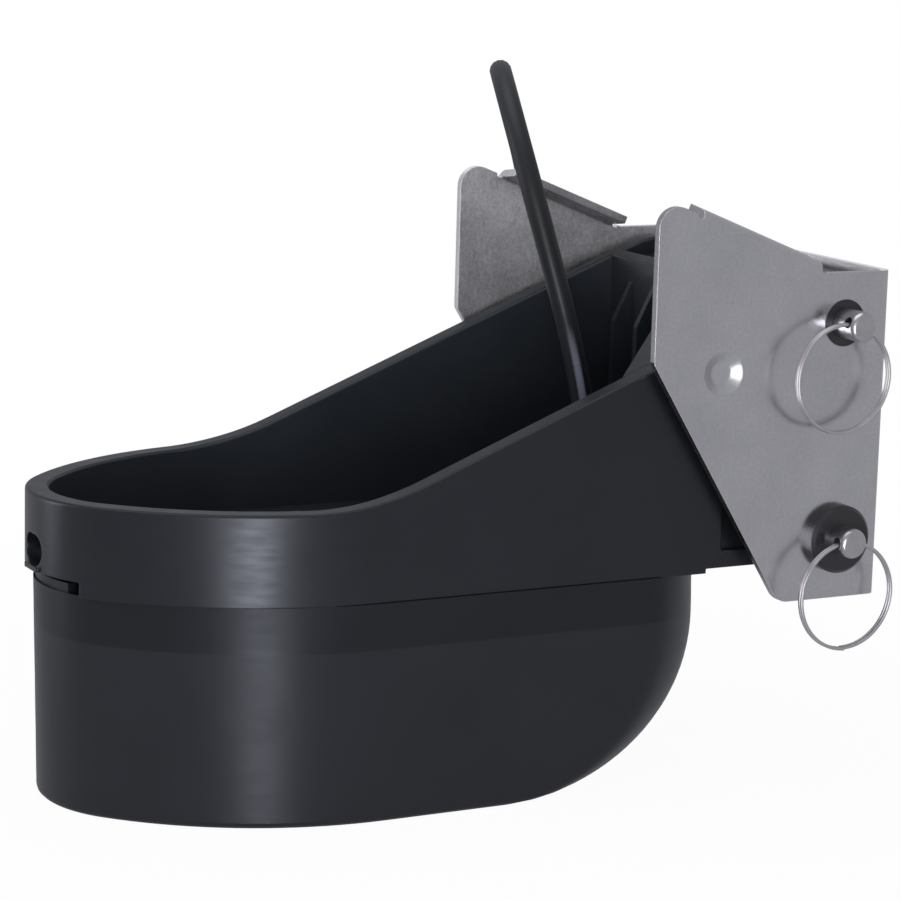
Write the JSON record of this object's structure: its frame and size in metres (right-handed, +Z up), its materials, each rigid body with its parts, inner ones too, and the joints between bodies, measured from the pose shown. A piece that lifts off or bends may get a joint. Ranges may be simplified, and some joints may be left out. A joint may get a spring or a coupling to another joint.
{
  "type": "sonar transducer",
  "caption": "Transom-mount sonar transducer: a rounded acoustic keel under a moulded tub, pinned in a folded steel bracket, with its cable.",
  "frame": {"origin": "middle of the bracket's four slots, on the face that meets the transom", "axes": "+X forward into the transom, +Y to the far side, where the pins' heads are, +Z up"},
  "size_m": [0.3128, 0.35, 0.2639],
  "materials": {
    "stainless": "satin",
    "bright_steel": "polished",
    "shroud_plastic": "satin",
    "keel_plastic": "satin",
    "bush_plastic": "satin",
    "cable_jacket": "satin",
    "boot_rubber": "matte",
    "gland_plastic": "satin",
    "resin": "gloss",
    "isolator": "matte",
    "ceramic": "matte",
    "board": "gloss",
    "copper": "satin",
    "tie_strap": "matte",
    "connector_metal": "satin",
    "insert_plastic": "gloss"
  },
  "bodies": {
    "root": {"transom_bracket": "stainless", "shroud": "shroud_plastic", "keel_housing": "keel_plastic", "upper_bush_near": "bush_plastic", "upper_bush_far": "bush_plastic", "lower_bush_near": "bush_plastic", "lower_bush_far": "bush_plastic", "element_holder": "isolator", "high_frequency_element": "ceramic", "ceramic_element_1": "ceramic", "ceramic_element_2": "ceramic", "ceramic_element_3": "ceramic", "ceramic_element_4": "ceramic", "ceramic_element_5": "ceramic", "ceramic_element_6": "ceramic", "ceramic_element_7": "ceramic", "circuit_board": "board", "element_leads": "copper", "matching_transformer": "copper", "temperature_sensor": "bright_steel", "cable_gland": "gland_plastic", "cable_core": "cable_jacket", "potting_compound": "resin", "deck_screws": "bright_steel", "gland_nut": "gland_plastic", "strain_relief": "boot_rubber", "cable_lead": "cable_jacket", "cable_tail": "cable_jacket", "cable_coil": "cable_jacket", "coil_ties": "tie_strap", "connector_boot": "boot_rubber", "connector_shell": "connector_metal", "connector_ring": "connector_metal", "connector_insert": "insert_plastic"},
    "upper_pin_body": {"upper_pin": "bright_steel"},
    "upper_ring_body": {"upper_ring": "bright_steel"},
    "lower_pin_body": {"lower_pin": "bright_steel"},
    "lower_ring_body": {"lower_ring": "bright_steel"}
  },
  "joints": [
    {"name": "upper_pin_turn", "type": "hinge", "parent": "root", "child": "upper_pin_body", "pos_m": [-0.0205, 0, 0.0431], "axis": [0, 1, 0], "continuous": true},
    {"name": "lower_pin_turn", "type": "hinge", "parent": "root", "child": "lower_pin_body", "pos_m": [-0.0205, 0, -0.0389], "axis": [0, 1, 0], "continuous": true},
    {"name": "upper_ring_swing", "type": "hinge", "parent": "upper_pin_body", "child": "upper_ring_body", "pos_m": [-0.0205, -0.0885, 0.0431], "axis": [-0.9537, 0, 0.3007], "range_deg": [-3, 180]},
    {"name": "lower_ring_swing", "type": "hinge", "parent": "lower_pin_body", "child": "lower_ring_body", "pos_m": [-0.0205, -0.0889, -0.0389], "axis": [-0.9997, 0, 0.0262], "range_deg": [-3, 180]}
  ]
}
